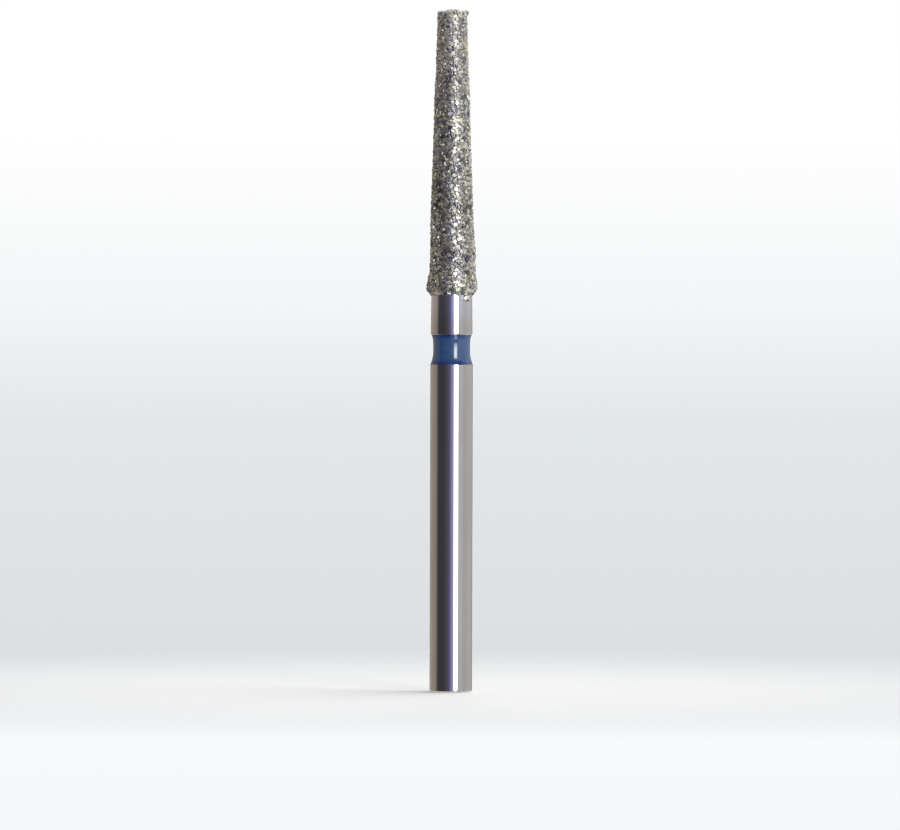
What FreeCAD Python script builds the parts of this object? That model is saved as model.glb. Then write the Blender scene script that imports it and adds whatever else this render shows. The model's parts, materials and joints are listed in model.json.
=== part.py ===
import FreeCAD, Part
import math
import os
import random

# A dental bur with a friction-grip shank: a steel blank turned in one, a ring of blue enamel
# in the blank's groove, and a coat of diamond grit bonded to its tapered head.
# Millimetres. The origin is the centre of the shank's flat end, and +Z runs up the axis to the tip.

# Shank, the end that the handpiece's chuck grips
shank_diameter = 1.60
shank_length = 12.22
foot_edge_radius = 0.05

# Groove for the colour ring, from the shank's top edge to the neck's lower edge
groove_length = 1.17
groove_floor_diameter = 1.26
neck_bevel_height = 0.06
neck_bevel_depth = 0.03

# Enamel of the colour ring: its dished waist, and the sweep that climbs to each edge of the groove
ring_diameter = 1.38
ring_dish = 0.005
ring_lower_sweep = 0.43
ring_upper_sweep = 0.28

# Neck, between the groove and the coat
neck_diameter = 1.57
neck_length = 1.37

# Head, measured over the tips of the grains
head_length = 10.74
head_base_diameter = 1.84
head_tip_diameter = 1.13
tip_corner_radius = 0.10
shoulder_diameter = 1.94
shoulder_length = 0.65
shoulder_rounding = 0.6

# Coat: the nickel bond, and the grains that stand out of it
bond_thickness = 0.06
grain_height = 0.09
grain_pitch = 0.128
grain_seed = 29

# Shape of the relief, as shares of the pitch and of the grain height
grain_scatter = 0.24
bare_share = 0.45
grain_level_spread = 0.3

# Strips that the core's cone is divided into, so that the thin coat on it keeps its volume as a mesh
core_strips = 36

# Corners of the grit's facets that lie closer than this are one corner
corner_tolerance = 1e-4

# Places that follow from the sizes above
groove_bottom = shank_length
neck_bottom = groove_bottom + groove_length
neck_top = neck_bottom + neck_length
tip = neck_top + head_length
coat_thickness = bond_thickness + grain_height
core_base_radius = head_base_diameter / 2 - coat_thickness
core_tip_radius = head_tip_diameter / 2 - coat_thickness
core_tip = tip - coat_thickness


def point(radius, height):
    """Point of a profile, in the plane of X and Z."""
    return FreeCAD.Vector(radius, 0, height)


def line(start, end):
    return Part.LineSegment(start, end).toShape()


def arc(start, middle, end):
    return Part.Arc(start, middle, end).toShape()


def bezier(poles):
    curve = Part.BezierCurve()
    curve.setPoles(poles)
    return curve.toShape()


def revolve(edges):
    """Solid of revolution about the bur's axis from a closed profile."""
    profile = Part.Face(Part.Wire(edges))
    return profile.revolve(FreeCAD.Vector(0, 0, 0), FreeCAD.Vector(0, 0, 1), 360)


def groove_points():
    """The groove's corners, from the shank's top edge up to the foot of the neck's bevel."""
    shank_radius = shank_diameter / 2
    floor_radius = groove_floor_diameter / 2
    bevel_radius = neck_diameter / 2 - neck_bevel_depth
    bevel_foot = neck_bottom - neck_bevel_height
    lower_wall = shank_radius - floor_radius
    upper_wall = bevel_radius - floor_radius
    return [
        point(shank_radius, groove_bottom),
        point(floor_radius, groove_bottom + lower_wall),
        point(floor_radius, bevel_foot - upper_wall),
        point(bevel_radius, bevel_foot),
    ]


def bur_blank():
    """Shank, groove, neck and the tapered core of the head, turned from one bar."""
    shank_radius = shank_diameter / 2
    foot_flat = shank_radius - foot_edge_radius
    bend = foot_edge_radius * math.sqrt(0.5)
    foot_edge = arc(
        point(foot_flat, 0),
        point(foot_flat + bend, foot_edge_radius - bend),
        point(shank_radius, foot_edge_radius),
    )
    outline = [point(shank_radius, foot_edge_radius)]
    outline += groove_points()
    outline.append(point(neck_diameter / 2, neck_bottom))
    outline.append(point(core_base_radius, neck_top))
    outline.append(point(core_tip_radius, core_tip))
    outline.append(point(0, core_tip))
    outline.append(point(0, 0))
    outline.append(point(foot_flat, 0))
    edges = [foot_edge]
    for start, end in zip(outline, outline[1:]):
        edges.append(line(start, end))
    return divide_cone(revolve(edges))


def divide_cone(blank):
    """The same solid, with the core's cone divided along straight lines from the neck to the tip."""
    divisions = []
    for index in range(core_strips):
        division = line(point(core_base_radius, neck_top), point(core_tip_radius, core_tip))
        division.rotate(FreeCAD.Vector(0, 0, 0), FreeCAD.Vector(0, 0, 1), 360 * index / core_strips)
        divisions.append(division)
    divided, sources = blank.generalFuse(divisions)
    return divided.Solids[0]


def tangent_arc(start, heading, end):
    """Arc that leaves start in the direction of heading and ends at end."""
    chord = end - start
    towards_middle = (heading.normalize() + FreeCAD.Vector(chord).normalize()).normalize()
    half_turn = towards_middle.getAngle(chord)
    middle = start + towards_middle * (chord.Length / 2 / math.cos(half_turn))
    return arc(start, middle, end)


def colour_ring():
    """Enamel that fills the groove and sweeps up to its two edges."""
    shank_edge, floor_low, floor_high, bevel_foot = groove_points()
    waist_radius = ring_diameter / 2
    waist_low = point(waist_radius + ring_dish, shank_edge.z + ring_lower_sweep)
    waist_high = point(waist_radius + ring_dish, bevel_foot.z - ring_upper_sweep)
    waist_middle = point(waist_radius, (waist_low.z + waist_high.z) / 2)
    half_waist = (waist_high.z - waist_low.z) / 2
    flare = 2 * math.atan2(ring_dish, half_waist)
    upwards = point(math.sin(flare), math.cos(flare))
    downwards = point(math.sin(flare), -math.cos(flare))
    return revolve([
        line(shank_edge, floor_low),
        line(floor_low, floor_high),
        line(floor_high, bevel_foot),
        tangent_arc(waist_high, upwards, bevel_foot),
        arc(waist_high, waist_middle, waist_low),
        tangent_arc(waist_low, downwards, shank_edge),
    ])


def coat_profile():
    """Outline over the grains' tips, from the middle of the flat end to just inside the neck."""
    taper = math.atan2((head_base_diameter - head_tip_diameter) / 2, head_length)
    tip_radius = head_tip_diameter / 2
    corner_centre = point(tip_radius - tip_corner_radius, tip - tip_corner_radius)

    def on_corner(angle):
        return corner_centre + point(
            tip_corner_radius * math.cos(angle), tip_corner_radius * math.sin(angle)
        )

    corner_top = on_corner(math.pi / 2)
    corner_side = on_corner(taper)

    # The coat is built up thicker at its lower end, which bevels in to the neck at 45 degrees
    shoulder_radius = shoulder_diameter / 2
    overhang = shoulder_radius - core_base_radius
    rounding = shoulder_rounding * overhang
    widest = point(shoulder_radius, neck_top + overhang + rounding)
    bevel_corner = point(shoulder_radius, neck_top + overhang)
    bevel_middle = point(core_base_radius + rounding, neck_top + rounding)
    inner_end = point(core_base_radius - grain_pitch, neck_top - grain_pitch)

    shoulder_top_height = widest.z + shoulder_length
    side_run = corner_side.z - shoulder_top_height
    shoulder_top = point(corner_side.x + side_run * math.tan(taper), shoulder_top_height)
    lean = point(math.sin(taper), -math.cos(taper)) * (shoulder_length / 3)
    drop = point(0, shoulder_length / 2)
    return Part.Wire([
        line(point(0, tip), corner_top),
        arc(corner_top, on_corner((math.pi / 2 + taper) / 2), corner_side),
        line(corner_side, shoulder_top),
        bezier([shoulder_top, shoulder_top + lean, widest + drop, widest]),
        bezier([widest, bevel_corner, bevel_middle, inner_end]),
    ])


def grain_depth(chance):
    """How far a point of the coat lies below the tips: a grain's face, or the bond between grains."""
    level = chance.uniform(0, grain_level_spread)
    if chance.random() < bare_share:
        level = 1 - level
    return level * grain_height


def grain_rings():
    """Rings of scattered points over the head, each set down to its depth along the normal."""
    chance = random.Random(grain_seed)
    profile = coat_profile()
    row_pitch = grain_pitch * math.sqrt(0.75)
    stations = profile.discretize(Number=round(profile.Length / row_pitch) + 1)
    rings = [[(0.0, stations[0])]]
    for before, here, after in zip(stations, stations[1:], stations[2:]):
        along = (after - before).normalize()
        normal = point(-along.z, along.x)
        count = max(5, round(2 * math.pi * here.x / grain_pitch))
        turn = chance.uniform(0, 1)
        ring = []
        for index in range(count):
            sideways = chance.uniform(-grain_scatter, grain_scatter)
            angle = 2 * math.pi * (index + turn + sideways) / count
            slip = chance.uniform(-grain_scatter, grain_scatter) * grain_pitch
            place = here + along * slip - normal * grain_depth(chance)
            ring.append((angle, FreeCAD.Vector(
                place.x * math.cos(angle), place.x * math.sin(angle), place.z
            )))
        rings.append(ring)
    rings.append([(0.0, point(0, stations[-1].z))])
    return rings


def angle_at(ring, step):
    """Angle of a ring's point, where steps past the last point go round again."""
    turns, index = divmod(step, len(ring))
    return ring[index][0] + 2 * math.pi * turns


def join_rings(upper, lower, first_upper, first_lower):
    """Triangles between two rings of points, taken in turn by angle right round the axis.

    A ring of one point closes the coat on the axis, and all the triangles meet there.
    """
    last_above = len(upper) if len(upper) > 1 else 0
    below = min(range(len(lower)), key=lambda index: abs(lower[index][0] - upper[0][0]))
    last_below = below + len(lower) if len(lower) > 1 else below
    above = 0
    triangles = []
    while above < last_above or below < last_below:
        corner_above = first_upper + above % len(upper)
        corner_below = first_lower + below % len(lower)
        upper_first = angle_at(upper, above + 1) <= angle_at(lower, below + 1)
        if below == last_below or (above < last_above and upper_first):
            above += 1
            next_corner = first_upper + above % len(upper)
        else:
            below += 1
            next_corner = first_lower + below % len(lower)
        triangles.append((corner_above, corner_below, next_corner))
    return triangles


def diamond_coat(blank):
    """The gritty layer: a faceted skin over the head, with the blank's core cut out of it."""
    rings = grain_rings()
    points = [place for ring in rings for angle, place in ring]
    triangles = []
    first = 0
    for upper, lower in zip(rings, rings[1:]):
        triangles += join_rings(upper, lower, first, first + len(upper))
        first += len(upper)
    skin = Part.Shape()
    skin.makeShapeFromMesh((points, triangles), corner_tolerance)
    return Part.Solid(skin.Shells[0]).cut(blank)


def main():
    os.makedirs("parts", exist_ok=True)
    blank = bur_blank()
    nodes = {
        "bur_blank": blank,
        "diamond_coat": diamond_coat(blank),
        "colour_ring": colour_ring(),
    }
    for name, shape in nodes.items():
        shape.exportStep("parts/" + name + ".step")
        print(name, "solids", len(shape.Solids), "faces", len(shape.Faces), "mm3", round(shape.Volume, 4))


main()
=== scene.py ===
import bisect
import itertools
import json
import math
import random

import bmesh
import bpy
from mathutils import Matrix, Quaternion, Vector, geometry, kdtree, noise


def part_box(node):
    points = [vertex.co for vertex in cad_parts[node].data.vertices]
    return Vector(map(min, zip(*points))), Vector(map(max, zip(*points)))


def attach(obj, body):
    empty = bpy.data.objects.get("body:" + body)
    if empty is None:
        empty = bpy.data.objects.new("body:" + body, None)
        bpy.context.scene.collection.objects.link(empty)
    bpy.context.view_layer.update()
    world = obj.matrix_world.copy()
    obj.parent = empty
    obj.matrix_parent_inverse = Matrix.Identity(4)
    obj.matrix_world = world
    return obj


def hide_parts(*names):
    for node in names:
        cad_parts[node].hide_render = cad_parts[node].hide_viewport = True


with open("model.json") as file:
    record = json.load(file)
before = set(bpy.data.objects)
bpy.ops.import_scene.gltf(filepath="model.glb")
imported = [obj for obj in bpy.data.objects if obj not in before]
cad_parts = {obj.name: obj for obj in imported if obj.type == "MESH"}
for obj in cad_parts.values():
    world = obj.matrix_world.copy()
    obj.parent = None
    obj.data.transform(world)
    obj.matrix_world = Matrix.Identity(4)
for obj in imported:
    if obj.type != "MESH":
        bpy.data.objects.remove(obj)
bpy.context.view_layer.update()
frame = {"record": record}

mm = 0.001  # the pieces are laid out in millimetres and written to their meshes in metres


# Shader sockets as values

class Wire:
    # one output of a node, so that maths on it reads as an expression
    def __init__(self, tree, socket=None):
        self.tree = tree
        self.socket = socket

    def add(self, kind, settings=None, inputs=None, output=0):
        node = self.tree.nodes.new("ShaderNode" + kind)
        for name, value in (settings or {}).items():
            if name == "stops":
                while len(node.color_ramp.elements) < len(value):
                    node.color_ramp.elements.new(0.5)
                for stop, (place, colour) in zip(node.color_ramp.elements, value):
                    stop.position = place
                    stop.color = colour
            else:
                setattr(node, name, value)
        for name, value in (inputs or {}).items():
            if isinstance(value, Wire):
                self.tree.links.new(value.socket, node.inputs[name])
            else:
                node.inputs[name].default_value = value
        return Wire(self.tree, node.outputs[output] if node.outputs else None)

    def maths(self, operation, first, second=0.0):
        return self.add("Math", {"operation": operation}, {0: first, 1: second})

    def __add__(self, other):
        return self.maths("ADD", self, other)

    def __radd__(self, other):
        return self.maths("ADD", other, self)

    def __sub__(self, other):
        return self.maths("SUBTRACT", self, other)

    def __rsub__(self, other):
        return self.maths("SUBTRACT", other, self)

    def __mul__(self, other):
        return self.maths("MULTIPLY", self, other)

    def __rmul__(self, other):
        return self.maths("MULTIPLY", other, self)

    def __neg__(self):
        return self.maths("MULTIPLY", self, -1.0)

    # 0 below low, 1 above high, with a soft step between
    def step(self, low, high):
        ends = {"Value": self, "From Min": low, "From Max": high}
        return self.add("MapRange", {"interpolation_type": "SMOOTHSTEP"}, ends)

    def between(self, low, high, soft):
        return self.step(low - soft, low + soft) * (1 - self.step(high - soft, high + soft))

    # colour that goes from the first to the second with the mask
    def tint(self, mask, first, second, way="MIX"):
        settings = {"data_type": "RGBA", "blend_type": way}
        return self.add("Mix", settings, {0: mask, 6: first, 7: second}, output=2)


def newFinish(name):
    material = bpy.data.materials.new(name)
    material.use_nodes = True
    material.node_tree.nodes.clear()
    return material, Wire(material.node_tree)


def rgb(red, green, blue):
    return (red, green, blue, 1.0)


# Place on the piece in millimetres, stretched round it or along its axis
def placeInMm(start, around=1.0, along=1.0):
    here = start.add("TexCoord", output="Object")
    scale = (around / mm, around / mm, along / mm)
    return start.add("VectorMath", {"operation": "MULTIPLY"}, {0: here, 1: scale})


def heightInMm(start):
    return start.add("SeparateXYZ", {}, {"Vector": placeInMm(start)}, "Z")


# Noise with so many blotches to the millimetre round the bur and along it
def blotches(start, around, along, detail):
    place = placeInMm(start, around, along)
    return start.add("TexNoise", {}, {"Vector": place, "Scale": 1.0, "Detail": detail})


# Outlines, as points of radius and height in millimetres

def arcPoints(centre, radius, first, last, steps):
    points = []
    for index in range(steps + 1):
        angle = first + (last - first) * index / steps
        points.append(Vector(centre) + radius * Vector((math.cos(angle), math.sin(angle))))
    return points


def bezierPoints(poles, steps):
    points = []
    for index in range(steps + 1):
        row = [Vector(pole) for pole in poles]
        while len(row) > 1:
            row = [a.lerp(b, index / steps) for a, b in zip(row, row[1:])]
        points.append(row[0])
    return points


# The arc that leaves start along heading and ends at end
def tangentArc(start, heading, end, steps):
    chord = end - start
    halfTurn = chord.angle_signed(heading)
    left = Vector((-heading.y, heading.x)).normalized()
    centre = start + left * chord.length / 2 / math.sin(halfTurn)
    points = []
    for index in range(steps + 1):
        swing = Matrix.Rotation(2 * halfTurn * index / steps, 2)
        points.append(centre + swing @ (start - centre))
    return points


# The same line with evenly spaced points
def evenPoints(points, pitch):
    lengths = [0.0]
    for a, b in zip(points, points[1:]):
        lengths.append(lengths[-1] + (b - a).length)
    count = round(lengths[-1] / pitch)
    even = []
    leg = 0
    for index in range(count + 1):
        reach = lengths[-1] * index / count
        while leg < len(points) - 2 and lengths[leg + 1] < reach:
            leg += 1
        share = (reach - lengths[leg]) / (lengths[leg + 1] - lengths[leg])
        even.append(points[leg].lerp(points[leg + 1], min(share, 1.0)))
    return even


# Direction out of a line at one of its points
def outwards(points, index):
    along = points[min(index + 1, len(points) - 1)] - points[max(index - 1, 0)]
    return Vector((-along.y, along.x)).normalized()


# Meshes

def newPiece(name, points, faces, finish):
    mesh = bpy.data.meshes.new(name)
    mesh.from_pydata([tuple(value * mm for value in point) for point in points], [], faces)
    mesh.materials.append(finish)
    piece = bpy.data.objects.new(name, mesh)
    bpy.context.scene.collection.objects.link(piece)
    return piece


def aroundAxis(flat, angle):
    return Vector((flat[0] * math.cos(angle), flat[0] * math.sin(angle), flat[1]))


def circle(flat, segments):
    return [aroundAxis(flat, 2 * math.pi * index / segments) for index in range(segments)]


# Faces between rings of points; closed ones run on from the last ring to the first
def ringFaces(rings, segments, closed=False):
    faces = []
    for ring in range(rings if closed else rings - 1):
        below = ring * segments
        above = (ring + 1) % rings * segments
        for index in range(segments):
            after = (index + 1) % segments
            faces.append((below + index, below + after, above + after, above + index))
    return faces


# Adds two points on the axis, at the heights first and last, and closes the end rings with fans to them
def closeEnds(points, first, last, segments):
    middle = len(points)
    ring = middle - segments
    points += [(0.0, 0.0, first), (0.0, 0.0, last)]
    faces = []
    for index in range(segments):
        after = (index + 1) % segments
        faces += [(middle, after, index), (middle + 1, ring + index, ring + after)]
    return faces


# Points and faces of an outline turned about the bur's axis; an open outline starts and ends on the axis
def turned(outline, segments, closed=False):
    rings = outline if closed else outline[1:-1]
    points = [place for flat in rings for place in circle(flat, segments)]
    faces = ringFaces(len(rings), segments, closed)
    if not closed:
        faces += closeEnds(points, outline[0].y, outline[-1].y, segments)
    return points, faces


def smoothOver(piece, degrees):
    piece.data.shade_smooth()
    piece.data.set_sharp_from_angle(angle=math.radians(degrees))


# Sizes of the bur that every piece works from

def boxInMm(node):
    low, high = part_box(node)
    return low / mm, high / mm


mounts = {mount["name"]: mount for mount in frame["record"]["mounts"]}
ringLow, ringHigh = boxInMm("colour_ring")

bur = {
    "shankRadius": mounts["shank"]["dims"]["r_mm"],
    "shankTop": ringLow.z,
    "ringTop": ringHigh.z,
    "tip": boxInMm("diamond_coat")[1].z,
    "headLength": 10.74,
    "coatThickness": 0.15,
}
bur["neckTop"] = bur["tip"] - bur["headLength"]
bur["coreTop"] = bur["tip"] - bur["coatThickness"]


# Camera

camera = {
    "lens": 400.0,
    "sensor": 36.0,
    "clip": (0.01, 10.0),
    "distance": 374.0,
    "elevation": 1.0,
    "roll": 0.14,
    "aim": (-0.070, 0.0, 10.33),
}


def makeCamera():
    data = bpy.data.cameras.new("camera")
    data.lens = camera["lens"]
    data.sensor_width = camera["sensor"]
    data.clip_start, data.clip_end = camera["clip"]
    holder = bpy.data.objects.new("camera", data)
    bpy.context.scene.collection.objects.link(holder)
    tilt = math.radians(camera["elevation"])
    back = Vector((0.0, -math.cos(tilt), math.sin(tilt)))
    holder.location = (Vector(camera["aim"]) + back * camera["distance"]) * mm
    holder.rotation_euler = (math.radians(90) - tilt, -math.radians(camera["roll"]), 0.0)
    bpy.context.scene.camera = holder


makeCamera()
print("camera placed")


# Studio: cards of light round the bur, given by azimuth and elevation in degrees.
# Azimuth 0 is the camera's side and grows to the right; the cards lower in the list cover the upper ones.

studio = {
    "base": {"name": "base", "colour": rgb(1.0, 0.99, 0.97), "strength": 0.58},
    "cards": [
        {"name": "warm wall", "colour": rgb(1.0, 0.89, 0.75), "strength": 0.375,
         "azimuth": (-190, -70), "elevation": (-100, 45), "soft": 8},
        {"name": "lit end of the wall", "colour": rgb(1.0, 0.91, 0.79), "strength": 0.475,
         "azimuth": (-190, -122), "elevation": (-60, 45), "soft": 22},
        {"name": "dark flag", "colour": rgb(0.84, 0.815, 1.0), "strength": 0.072,
         "azimuth": (-84, 9), "elevation": (-100, 45), "soft": 12},
        {"name": "light on the flag", "colour": rgb(0.83, 0.83, 1.0), "strength": 0.137,
         "azimuth": (-28, 9), "elevation": (-60, 45), "soft": 20},
        {"name": "violet fringe", "colour": rgb(0.55, 0.55, 1.0), "strength": 0.225,
         "azimuth": (-16, 9), "elevation": (-12, 12), "soft": 5},
        {"name": "violet edge", "colour": rgb(0.56, 0.54, 0.93), "strength": 0.82,
         "azimuth": (-1, 18), "elevation": (-12, 12), "soft": 12},
        {"name": "glow beside the softbox", "colour": rgb(0.92, 0.91, 1.0), "strength": 0.73,
         "azimuth": (44, 62), "elevation": (-30, 30), "soft": 8},
        {"name": "right wall", "colour": rgb(1.0, 0.99, 0.98), "strength": 0.62,
         "azimuth": (92, 132), "elevation": (-40, 40), "soft": 14},
        {"name": "softbox", "colour": rgb(1.0, 0.99, 0.96), "strength": 9.2,
         "azimuth": (16.5, 34), "elevation": (-3.5, 22.5), "soft": 6},
        {"name": "gap over the softbox", "colour": rgb(0.9, 0.95, 1.0), "strength": 0.12,
         "azimuth": (-84, 70), "elevation": (29, 42), "soft": 2},
        {"name": "ceiling", "colour": rgb(1.0, 1.0, 1.0), "strength": 0.5,
         "azimuth": (-400, 400), "elevation": (43, 100), "soft": 3},
        {"name": "bright side of the ceiling", "colour": rgb(1.0, 1.0, 1.0), "strength": 4.6,
         "azimuth": (60, 168), "elevation": (54, 88), "soft": 6},
        {"name": "upper right wall", "colour": rgb(1.0, 0.99, 0.97), "strength": 0.9,
         "azimuth": (98, 165), "elevation": (14, 52), "soft": 8},
        {"name": "low board", "colour": rgb(0.98, 1.0, 0.97), "strength": 0.5,
         "azimuth": (-4, 170), "elevation": (-100, -14), "soft": 6},
        {"name": "right end of the low board", "colour": rgb(1.0, 0.99, 0.96), "strength": 1.0,
         "azimuth": (98, 165), "elevation": (-62, -18), "soft": 8},
        {"name": "gap under the softbox", "colour": rgb(0.9, 0.95, 1.0), "strength": 0.12,
         "azimuth": (14, 38), "elevation": (-24, -7), "soft": 3},
        {"name": "softbox on the low board", "colour": rgb(0.92, 1.0, 0.94), "strength": 2.6,
         "azimuth": (17, 35), "elevation": (-60, -20), "soft": 4},
        {"name": "right gap behind", "colour": rgb(1.0, 1.0, 1.0), "strength": 0.12,
         "azimuth": (153, 167), "elevation": (-100, 45), "soft": 3},
        {"name": "left gap behind", "colour": rgb(1.0, 1.0, 1.0), "strength": 0.12,
         "azimuth": (-171, -160), "elevation": (-100, 45), "soft": 3},
        {"name": "strip behind", "colour": rgb(1.0, 1.0, 1.0), "strength": 4.0,
         "azimuth": (174, 186), "elevation": (-40, 34), "soft": 3},
    ],
    # What the camera sees behind the bur, by elevation: near white low down, then pale grey, white above
    "backdrop": [
        (-3.40, rgb(0.905, 0.930, 0.950)),
        (-2.85, rgb(0.930, 0.945, 0.960)),
        (-2.60, rgb(0.701, 0.730, 0.753)),
        (-1.05, rgb(0.761, 0.795, 0.815)),
        (-0.40, rgb(0.890, 0.905, 0.920)),
        (0.60, rgb(1.0, 1.0, 1.0)),
    ],
}


def makeStudio():
    world = bpy.data.worlds.new("studio")
    world.use_nodes = True
    world.node_tree.nodes.clear()
    bpy.context.scene.world = world
    start = Wire(world.node_tree)
    direction = {"Vector": start.add("TexCoord", output="Generated")}
    x, y, z = (start.add("SeparateXYZ", {}, direction, axis) for axis in "XYZ")
    degree = 180 / math.pi
    azimuth = start.maths("ARCTAN2", x, -y) * degree
    eitherWay = start.maths("ABSOLUTE", azimuth)
    elevation = start.maths("ARCSINE", z) * degree

    def glow(name, colour, strength):
        return start.add("Background", {"label": name}, {"Color": colour, "Strength": strength})

    base = studio["base"]
    light = glow(base["name"], base["colour"], base["strength"])
    for card in studio["cards"]:
        # A card that passes behind the bur lies as far round on either side
        around = eitherWay if card["azimuth"][1] > 180 else azimuth
        mask = around.between(*card["azimuth"], card["soft"])
        mask = mask * elevation.between(*card["elevation"], card["soft"])
        lit = glow(card["name"], card["colour"], card["strength"])
        light = start.add("MixShader", {}, {0: mask, 1: light, 2: lit})

    low, high = studio["backdrop"][0][0], studio["backdrop"][-1][0]
    stops = [((place - low) / (high - low), colour) for place, colour in studio["backdrop"]]
    backdrop = start.add("ValToRGB", {"stops": stops}, {"Fac": (elevation - low) * (1 / (high - low))})
    seen = start.add("LightPath", output="Is Camera Ray")
    light = start.add("MixShader", {}, {0: seen, 1: light, 2: glow("backdrop", backdrop, 1.0)})
    start.add("OutputWorld", {}, {"Surface": light})


floor = {
    "radius": 60.0,
    "drop": 0.02,
    "fade": (6.0, 42.0),
    "colour": rgb(0.93, 0.94, 0.95),
    "segments": 96,
}


def makeFloor():
    finish, start = newFinish("pale floor")
    reach = start.add("VectorMath", {"operation": "LENGTH"}, {0: placeInMm(start)}, "Value")
    # Light and reflections pass it, so the steel mirrors the studio down to its foot
    shadow = start.add("LightPath", output="Is Shadow Ray")
    glossy = start.add("LightPath", output="Is Glossy Ray")
    shown = (1 - reach.step(*floor["fade"])) * (1 - glossy) * (1 - shadow)
    matt = start.add("BsdfDiffuse", {}, {"Color": floor["colour"]})
    clear = start.add("BsdfTransparent")
    surface = start.add("MixShader", {}, {0: shown, 1: clear, 2: matt})
    start.add("OutputMaterial", {}, {"Surface": surface})
    rim = circle((floor["radius"], -floor["drop"]), floor["segments"])
    disc = newPiece("floor", rim, [tuple(range(floor["segments"]))], finish)


makeStudio()
makeFloor()
print("studio lit")


# Ground steel of the blank

steel = {
    "colour": rgb(0.62, 0.605, 0.585),
    "dulled": 0.93,
    # violet tint painted on the neck's steel, standing in for a violet reflection
    "paintedViolet": rgb(0.70, 0.685, 0.755),
    "paintedVioletReach": (1.25, 0.3),
    "roughness": 0.075,
    "grinding": 0.03,
    "linesRound": 0.15,
    "linesAlong": 38.0,
    "lineDepth": 0.002,
    "bump": 0.02,
    "polishRound": 0.9,
    "polishAlong": 0.35,
    "polishEdge": (0.35, 0.7),
}


def groundSteel():
    finish, start = newFinish("ground steel")
    # Fine lines round the shank, left by the grinding wheel, and slow changes of the polish over the length
    lines = blotches(start, steel["linesRound"], steel["linesAlong"], detail=4.0)
    polish = blotches(start, steel["polishRound"], steel["polishAlong"], detail=3.0)
    roughness = steel["roughness"] + (lines - 0.5) * steel["grinding"] + (polish - 0.5) * steel["grinding"]
    dull = rgb(*(steel["dulled"] * value for value in steel["colour"][:3]))
    colour = start.tint(polish.step(*steel["polishEdge"]), steel["colour"], dull)
    # A painted violet reflection on the neck below the coat, thinner towards the ring
    thin, full = (bur["neckTop"] - reach for reach in steel["paintedVioletReach"])
    colour = start.tint(heightInMm(start).step(thin, full), colour, steel["paintedViolet"])
    bump = start.add("Bump", {}, {
        "Height": lines, "Strength": steel["bump"], "Distance": steel["lineDepth"] * mm,
    })
    shader = start.add("BsdfPrincipled", {}, {
        "Base Color": colour, "Metallic": 1.0, "Roughness": roughness, "Normal": bump,
    })
    start.add("OutputMaterial", {}, {"Surface": shader})
    return finish


blank = {
    "footEdge": 0.05,
    "footSteps": 6,
    "floorRadius": 0.63,
    "bevelHeight": 0.06,
    "bevelDepth": 0.03,
    "bevelPoles": ((1.0, 0.0), (0.2, 0.1), (0.0, 0.4), (0.0, 1.0)),  # shares of its depth and height
    "bevelSteps": 8,
    "neckRadius": 0.785,
    "coreBase": 0.77,
    "coreTip": 0.415,
    "hold": 0.01,
    "segments": 288,
    "smoothUnder": 20,
}


# Corners of the ring's groove, from the shank's edge up to the foot of the neck's bevel
def groovePoints():
    bevelFoot = blank["neckRadius"] - blank["bevelDepth"]
    lowerWall = bur["shankRadius"] - blank["floorRadius"]
    upperWall = bevelFoot - blank["floorRadius"]
    return [
        Vector((bur["shankRadius"], bur["shankTop"])),
        Vector((blank["floorRadius"], bur["shankTop"] + lowerWall)),
        Vector((blank["floorRadius"], bur["ringTop"] - upperWall)),
        Vector((bevelFoot, bur["ringTop"])),
    ]


# The neck's lower edge, turned over in a soft bevel
def bevelPoints():
    poles = []
    for inwards, upwards in blank["bevelPoles"]:
        radius = blank["neckRadius"] - inwards * blank["bevelDepth"]
        poles.append((radius, bur["ringTop"] + upwards * blank["bevelHeight"]))
    return bezierPoints(poles, blank["bevelSteps"])


def makeBlank():
    edge = blank["footEdge"]
    outline = [Vector((0.0, 0.0))]
    outline += arcPoints((bur["shankRadius"] - edge, edge), edge, -math.pi / 2, 0.0, blank["footSteps"])
    # Rings close to a rounding or a corner hold the long face beside it straight in the reflections
    outline.append(Vector((bur["shankRadius"], edge + blank["hold"])))
    outline += groovePoints()
    outline += bevelPoints()[1:]
    bevelTop = outline[-1]
    neckEnd = Vector((blank["coreBase"], bur["neckTop"]))
    share = blank["hold"] / (neckEnd - bevelTop).length
    outline += [bevelTop.lerp(neckEnd, share), bevelTop.lerp(neckEnd, 1 - share), neckEnd]
    outline += [Vector((blank["coreTip"], bur["coreTop"])), Vector((0.0, bur["coreTop"]))]
    points, faces = turned(outline, blank["segments"])
    piece = newPiece("turned_blank", points, faces, groundSteel())
    smoothOver(piece, blank["smoothUnder"])
    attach(piece, "root")
    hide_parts("bur_blank")


makeBlank()
print("blank turned")


# Blue enamel of the colour ring

enamel = {
    "colour": rgb(0.041, 0.097, 0.240),
    "deep": rgb(0.033, 0.080, 0.200),
    "cloudsRound": 3.0,
    "cloudsAlong": 5.0,
    "cloudEdge": (0.3, 0.7),
    # darker blue at the groove's edges: partly the enamel's own colour, partly painted shade
    "edge": rgb(0.006, 0.02, 0.165),
    "edgeWidth": 0.2,
    "roughness": 0.08,
    "unevenGloss": 0.04,
    "gloss": rgb(0.93, 1.0, 0.95),
    "ripplesPerMm": 2.2,
    "rippleHeight": 0.01,
    "ripple": 0.15,
    "waistRadius": 0.69,
    "dish": 0.005,
    "lowerSweep": 0.43,
    "upperSweep": 0.28,
    "steps": 14,
    "segments": 256,
    "smoothUnder": 25,
}


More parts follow.
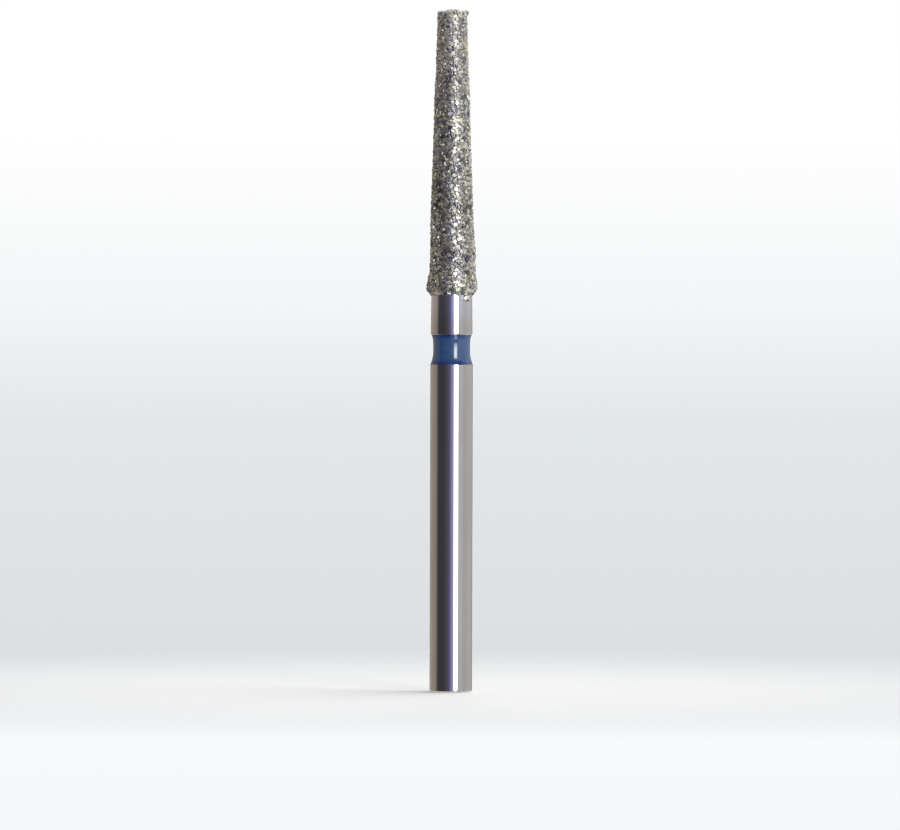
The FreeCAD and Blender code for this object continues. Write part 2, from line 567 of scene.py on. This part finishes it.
def blueEnamel():
    finish, start = newFinish("blue enamel")
    clouds = blotches(start, enamel["cloudsRound"], enamel["cloudsAlong"], detail=4.0)
    colour = start.tint(clouds.step(*enamel["cloudEdge"]), enamel["deep"], enamel["colour"])
    # The enamel is darker and bluer towards the groove's edges: partly its own deeper colour there, partly
    # painted shade where it meets the steel
    half = (bur["ringTop"] - bur["shankTop"]) / 2
    fromMiddle = start.maths("ABSOLUTE", heightInMm(start) - (bur["shankTop"] + half))
    colour = start.tint(fromMiddle.step(half - enamel["edgeWidth"], half), colour, enamel["edge"])
    ripple = blotches(start, enamel["ripplesPerMm"], enamel["ripplesPerMm"], detail=1.0)
    bump = start.add("Bump", {}, {
        "Height": ripple, "Strength": enamel["ripple"], "Distance": enamel["rippleHeight"] * mm,
    })
    shader = start.add("BsdfPrincipled", {}, {
        "Base Color": colour,
        "Roughness": enamel["roughness"] + (clouds - 0.5) * enamel["unevenGloss"],
        "Specular IOR Level": 1.0,
        "Specular Tint": enamel["gloss"],
        "Normal": bump,
    })
    start.add("OutputMaterial", {}, {"Surface": shader})
    return finish


def makeRing():
    shankEdge, floorLow, floorHigh, bevelFoot = groovePoints()
    steps = enamel["steps"]
    waist = enamel["waistRadius"] + enamel["dish"]
    waistLow = Vector((waist, shankEdge.y + enamel["lowerSweep"]))
    waistHigh = Vector((waist, bevelFoot.y - enamel["upperSweep"]))
    middle = (waistLow.y + waistHigh.y) / 2
    half = waistHigh.y - middle
    flare = 2 * math.atan2(enamel["dish"], half)
    upwards = Vector((math.sin(flare), math.cos(flare)))
    downwards = Vector((math.sin(flare), -math.cos(flare)))
    outline = tangentArc(waistLow, downwards, shankEdge, steps)[::-1]
    for index in range(1, steps):
        away = 2 * index / steps - 1
        radius = enamel["waistRadius"] + enamel["dish"] * away ** 2
        outline.append(Vector((radius, middle + half * away)))
    outline += tangentArc(waistHigh, upwards, bevelFoot, steps)
    outline += [floorHigh, floorLow]
    points, faces = turned(outline, enamel["segments"], closed=True)
    piece = newPiece("enamel_ring", points, faces, blueEnamel())
    smoothOver(piece, enamel["smoothUnder"])
    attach(piece, "root")
    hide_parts("colour_ring")


makeRing()
print("ring enamelled")


# The head: its outline over the grains' tips

head = {
    "tipRadius": 0.565,
    "baseRadius": 0.92,
    "corner": 0.10,
    "cornerSteps": 8,
    "dome": 0.07,
    "domeSteps": 6,
    "shoulderRadius": 0.97,
    "shoulderLength": 0.65,
    "shoulderRounding": 0.6,
    "shoulderSteps": 16,
    "tuckIn": 0.128,
    # Places where the coat is thicker, all round or to the right, by height and length along the axis
    "swells": [
        {"height": 16.25, "length": 0.85, "allRound": 0.0, "right": 0.045},
        {"height": 22.2, "length": 0.55, "allRound": 0.02, "right": 0.0},
    ],
}


# From the middle of the flat end, round its corner and down the sides, to just inside the neck
def headOutline():
    taper = math.atan2(head["baseRadius"] - head["tipRadius"], bur["headLength"])
    corner = head["corner"]
    centre = Vector((head["tipRadius"] - corner, bur["tip"] - head["dome"] - corner))
    dome = [(0.0, bur["tip"]), (centre.x / 2, bur["tip"]), (centre.x, bur["tip"] - head["dome"])]
    points = bezierPoints(dome, head["domeSteps"])[:-1]
    points += arcPoints(centre, corner, math.pi / 2, taper, head["cornerSteps"])
    overhang = head["shoulderRadius"] - blank["coreBase"]
    rounding = head["shoulderRounding"] * overhang
    widest = Vector((head["shoulderRadius"], bur["neckTop"] + overhang + rounding))
    shoulderTop = widest.y + head["shoulderLength"]
    side = points[-1]
    start = Vector((side.x + (side.y - shoulderTop) * math.tan(taper), shoulderTop))
    lean = Vector((math.sin(taper), -math.cos(taper))) * head["shoulderLength"] / 3
    drop = Vector((0.0, head["shoulderLength"] / 2))
    points += bezierPoints([start, start + lean, widest + drop, widest], head["shoulderSteps"])
    points += bezierPoints([
        widest,
        (widest.x, bur["neckTop"] + overhang),
        (blank["coreBase"] + rounding, bur["neckTop"] + rounding),
        (blank["coreBase"] - head["tuckIn"], bur["neckTop"] - head["tuckIn"]),
    ], head["shoulderSteps"])[1:]
    return points


def swollen(place, normal):
    thicker = 0.0
    for swell in head["swells"]:
        share = math.exp(-((place.z - swell["height"]) / swell["length"]) ** 2)
        thicker += share * (swell["allRound"] + swell["right"] * normal.x)
    return place + normal * thicker


# Diamond grains

grit = {
    "seed": 52,
    "shapes": 40,
    "halfSize": 0.42,
    "flatness": ((0.75, 1.0), (0.65, 0.95)),
    "slant": 0.2,
    "cutCorners": 0.6,
    "cutDepth": (0.5, 1.0),
    "flatWithin": 7,  # degrees that neighbouring facets may differ by and still be one
    "sizes": (0.19, 0.165, 0.14, 0.11),
    "sizeSpread": 0.12,
    "tries": (2500, 7000, 14000, 18000),
    "packing": 0.74,
    "pitch": 0.02,
    "lowest": -0.01,
    "sunk": 0.03,
    "settled": 0.935,
    "pale": rgb(0.80, 0.785, 0.68),
    "olive": rgb(0.43, 0.41, 0.345),
    "grey": rgb(0.56, 0.555, 0.56),
    "dark": rgb(0.12, 0.12, 0.165),
    "tones": ((0.03, "dark"), (0.19, "olive"), (0.55, "grey"), (0.9, "pale")),
    "flawsPerMm": 9.0,
    "flawEdge": (0.45, 0.75),
    "flaws": 0.4,
    "flawRoughness": 0.15,
    "cool": rgb(0.93, 0.92, 1.0),
    "warm": rgb(1.0, 0.985, 0.885),
    "patchesPerMm": 5.0,
    "patchEdge": (0.4, 0.6),
    "paleTip": rgb(0.82, 0.795, 0.765),
    "paleTipFrom": 20.0,
    "paleTipShare": 0.34,
    "mattTip": 0.12,
    "metallic": 0.9,
    "roughness": 0.33,
    "ior": 2.0,
}


# Blocky crystals of about unit size: cubes out of true, with some corners cut
def crystalShapes(chance):
    shapes = []
    for index in range(grit["shapes"]):
        crystal = bmesh.new()
        sides = [1.0] + [chance.uniform(*spread) for spread in grit["flatness"]]
        stretch = Vector(sides) * grit["halfSize"]
        for x, y, z in itertools.product((-1, 1), repeat=3):
            slant = Vector([chance.uniform(-1, 1) * grit["slant"] for axis in range(3)])
            corner = Vector((x, y, z)) + slant
            if chance.random() > grit["cutCorners"]:
                crystal.verts.new(corner * stretch)
                continue
            for axis in range(3):
                cut = corner.copy()
                cut[axis] *= 1 - chance.uniform(*grit["cutDepth"])
                crystal.verts.new(cut * stretch)
        bmesh.ops.convex_hull(crystal, input=crystal.verts)
        inside = [vert for vert in crystal.verts if not vert.link_faces]
        bmesh.ops.delete(crystal, geom=inside, context="VERTS")
        angle = math.radians(grit["flatWithin"])
        bmesh.ops.dissolve_limit(crystal, angle_limit=angle, verts=crystal.verts, edges=crystal.edges)
        bmesh.ops.recalc_face_normals(crystal, faces=crystal.faces)
        crystal.verts.index_update()
        corners = [vert.co.copy() for vert in crystal.verts]
        facets = [tuple(vert.index for vert in face.verts) for face in crystal.faces]
        shapes.append((corners, facets))
        crystal.free()
    return shapes


# One crystal turned at random, but with its nearest facet settled part of the way outwards
def settle(corners, facets, normal, chance):
    axis = Vector((chance.gauss(0, 1), chance.gauss(0, 1), chance.gauss(0, 1)))
    spin = Matrix.Rotation(chance.uniform(0, 2 * math.pi), 3, axis)
    spun = [spin @ corner for corner in corners]
    nearest = max((geometry.normal([spun[index] for index in facet]) for facet in facets), key=normal.dot)
    wholeWay = nearest.rotation_difference(normal)
    partWay = Quaternion().slerp(wholeWay, grit["settled"])
    return [partWay @ corner for corner in spun]


# Places for the grains over the head, the largest first and smaller ones in the gaps
def scatterGrains(outline, chance):
    even = evenPoints(outline, grit["pitch"])
    # Running sum of the radii, so that every part of the surface is as likely
    area = [0.0]
    for point in even:
        area.append(area[-1] + point.x)
    # Grains that touch lie in the same cell of space or in neighbouring ones
    cell = max(grit["sizes"]) * (1 + grit["sizeSpread"])
    taken = {}
    grains = []

    def cellOf(place):
        return tuple(math.floor(value / cell) for value in place)

    def roomFor(place, size):
        home = cellOf(place)
        for steps in itertools.product((-1, 0, 1), repeat=3):
            neighbour = tuple(value + step for value, step in zip(home, steps))
            for other, otherSize in taken.get(neighbour, ()):
                if (other - place).length < grit["packing"] * (size + otherSize) / 2:
                    return False
        return True

    for meanSize, tries in zip(grit["sizes"], grit["tries"]):
        for attempt in range(tries):
            size = meanSize * (1 + chance.uniform(-1, 1) * grit["sizeSpread"])
            index = bisect.bisect_left(area, chance.uniform(0, area[-1])) - 1
            flat = even[index]
            angle = chance.uniform(0, 2 * math.pi)
            place = aroundAxis(flat, angle)
            if flat.y < bur["neckTop"] + grit["lowest"] or not roomFor(place, size):
                continue
            taken.setdefault(cellOf(place), []).append((place, size))
            grains.append((place, aroundAxis(outwards(even, index), angle), size, chance.random()))
    return grains


def diamondFinish():
    finish, start = newFinish("diamond grains")
    tone = start.add("Attribute", {"attribute_name": "tone"}, {}, "Fac")
    stops = [(place, grit[colour]) for place, colour in grit["tones"]]
    colour = start.add("ValToRGB", {"stops": stops}, {"Fac": tone})
    flaws = blotches(start, grit["flawsPerMm"], grit["flawsPerMm"], detail=2.0)
    colour = start.tint(flaws.step(*grit["flawEdge"]) * grit["flaws"], colour, grit["olive"])
    # The colour turns paler towards the tip
    towardsTip = heightInMm(start).step(grit["paleTipFrom"], bur["tip"])
    colour = start.tint(towardsTip * grit["paleTipShare"], colour, grit["paleTip"])
    # Cooler and warmer patches, each of one grain or a few
    patches = blotches(start, grit["patchesPerMm"], grit["patchesPerMm"], detail=1.0)
    hue = start.tint(patches.step(*grit["patchEdge"]), grit["cool"], grit["warm"])
    colour = start.tint(1.0, colour, hue, "MULTIPLY")
    shader = start.add("BsdfPrincipled", {}, {
        "Base Color": colour,
        "Metallic": grit["metallic"],
        "Roughness": grit["roughness"] + flaws * grit["flawRoughness"] + towardsTip * grit["mattTip"],
        "IOR": grit["ior"],
    })
    start.add("OutputMaterial", {}, {"Surface": shader})
    return finish


def makeGrains(grains, chance):
    shapes = crystalShapes(chance)
    points = []
    faces = []
    tones = []
    for place, normal, size, tone in grains:
        corners, facets = chance.choice(shapes)
        corners = [corner * size for corner in settle(corners, facets, normal, chance)]
        stand = max(corner.dot(normal) for corner in corners)
        centre = swollen(place, normal) - normal * (stand + chance.uniform(0, grit["sunk"]))
        first = len(points)
        points += [centre + corner for corner in corners]
        faces += [tuple(first + index for index in facet) for facet in facets]
        tones += [tone] * len(facets)
    piece = newPiece("diamond_grains", points, faces, diamondFinish())
    piece.data.attributes.new("tone", "FLOAT", "FACE").data.foreach_set("value", tones)
    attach(piece, "root")
    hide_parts("diamond_coat")
    print(len(grains), "grains,", len(faces), "facets")


# Nickel bond between the grains

nickel = {
    "depth": 0.094,
    "lowDepth": 0.07,
    "pitch": 0.031,
    "segments": 212,
    "smoothUnder": 60,
    "rise": 0.03,
    "riseFrom": 0.4,
    "skirt": 0.03,
    "reach": 0.15,
    "ripple": 0.01,
    "ripplesPerMm": 9.0,
    "lowEdge": 0.25,
    "lowFade": 0.2,
    "lowCalm": 0.6,
    "edgeRagged": 0.045,
    "edgeWaves": [
        {"fineness": 3.1, "row": 7.0, "share": 1.0},
        {"fineness": 9.0, "row": 3.0, "share": 0.6},
    ],
    "innerGap": 0.01,
    "colour": rgb(0.48, 0.475, 0.48),
    # dark violet painted where the bump dips: painted shade in the nickel's pits
    "dull": rgb(0.16, 0.16, 0.2),
    "grainsPerMm": 12.0,
    "grainEdge": (0.35, 0.7),
    "bump": 0.5,
    "bumpHeight": 0.012,
    "metallic": 0.85,
    "roughness": 0.34,
    "patchesPerMm": 4.0,
    "patchRoughness": 0.2,
}


def nickelFinish():
    finish, start = newFinish("nickel bond")
    grainy = blotches(start, nickel["grainsPerMm"], nickel["grainsPerMm"], detail=3.0)
    patches = blotches(start, nickel["patchesPerMm"], nickel["patchesPerMm"], detail=2.0)
    # Dark violet where the grainy bump dips: painted shade in the pits of the nickel
    colour = start.tint(grainy.step(*nickel["grainEdge"]), nickel["dull"], nickel["colour"])
    bump = start.add("Bump", {}, {
        "Height": grainy, "Strength": nickel["bump"], "Distance": nickel["bumpHeight"] * mm,
    })
    shader = start.add("BsdfPrincipled", {}, {
        "Base Color": colour,
        "Metallic": nickel["metallic"],
        "Roughness": nickel["roughness"] + (patches - 0.5) * nickel["patchRoughness"],
        "Normal": bump,
    })
    start.add("OutputMaterial", {}, {"Surface": shader})
    return finish


# How far the bond climbs the sides of the grains near a point
def riseAt(surface, tree, grains):
    rise = 0.0
    for place, index, away in tree.find_range(surface, nickel["reach"]):
        gap = max(0.0, away - grains[index][2] * nickel["riseFrom"])
        rise = max(rise, nickel["rise"] * math.exp(-(gap / nickel["skirt"]) ** 2))
    return rise


# How far the coat's lower edge wanders up or down, by the angle round the neck
def raggedAt(angle):
    ragged = 0.0
    for waves in nickel["edgeWaves"]:
        ragged += waves["share"] * noise.noise(aroundAxis((waves["fineness"], waves["row"]), angle))
    return ragged * nickel["edgeRagged"]


def makeBond(outline, grains):
    rings = evenPoints(outline, nickel["pitch"])
    segments = nickel["segments"]
    tree = kdtree.KDTree(len(grains))
    for index, (place, normal, size, tone) in enumerate(grains):
        tree.insert(place, index)
    tree.balance()
    points = []
    for index, flat in enumerate(rings[1:-1], 1):
        side = outwards(rings, index)
        low = (bur["neckTop"] + nickel["lowEdge"] - flat.y) / nickel["lowFade"]
        low = max(0.0, min(1.0, low))
        depth = nickel["depth"] + (nickel["lowDepth"] - nickel["depth"]) * low
        for step in range(segments):
            angle = 2 * math.pi * step / segments
            normal = aroundAxis(side, angle)
            surface = aroundAxis(flat, angle)
            relief = riseAt(surface, tree, grains)
            relief += noise.noise(surface * nickel["ripplesPerMm"]) * nickel["ripple"]
            spot = swollen(surface, normal) - normal * (depth - relief * (1 - nickel["lowCalm"] * low))
            spot.z += raggedAt(angle) * low
            points.append(spot)
    # The inside follows the blank's core, a little way under its surface
    tuckIn = head["tuckIn"]
    points += circle((blank["coreBase"] - tuckIn, bur["neckTop"] - tuckIn + nickel["innerGap"]), segments)
    points += circle((blank["coreTip"] - tuckIn, bur["coreTop"] - tuckIn), segments)
    faces = ringFaces(len(rings), segments)
    faces += closeEnds(points, rings[0].y - nickel["depth"], bur["coreTop"] - tuckIn, segments)
    # The outline runs down from the tip, so its faces are turned to look outwards
    piece = newPiece("nickel_bond", points, [face[::-1] for face in faces], nickelFinish())
    smoothOver(piece, nickel["smoothUnder"])
    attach(piece, "root")
    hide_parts("diamond_coat")
    print("bond of", len(faces), "faces")


# Single grains that stand out, two of them on the neck just below the coat and one at the tip's edge,
# by degrees round from the front, distance from the axis and height over the neck's top
strays = {
    "proud": 0.45,  # share of its size that a grain stands out by
    "grains": [
        {"azimuth": 40.0, "facing": 14.0, "radius": 0.82, "height": -0.03, "size": 0.19, "tone": 0.9},
        {"azimuth": 48.0, "facing": 60.0, "radius": 0.795, "height": -0.14, "size": 0.095, "tone": 0.1},
        {"azimuth": 88.0, "facing": 80.0, "radius": 0.545, "height": 10.6, "size": 0.19, "tone": 0.08},
    ],
}


def fromFront(degrees):
    return aroundAxis((1.0, 0.0), math.radians(degrees - 90))


def placeStrays():
    placed = []
    for stray in strays["grains"]:
        normal = fromFront(stray["facing"])
        place = fromFront(stray["azimuth"]) * stray["radius"] + normal * strays["proud"] * stray["size"]
        place.z = bur["neckTop"] + stray["height"]
        placed.append((place, normal, stray["size"], stray["tone"]))
    return placed


def makeHead():
    chance = random.Random(grit["seed"])
    outline = headOutline()
    grains = scatterGrains(outline, chance)
    makeBond(outline, grains)
    makeGrains(grains + placeStrays(), chance)


makeHead()
print("head coated")


bpy.context.scene.view_settings.view_transform = "Standard"
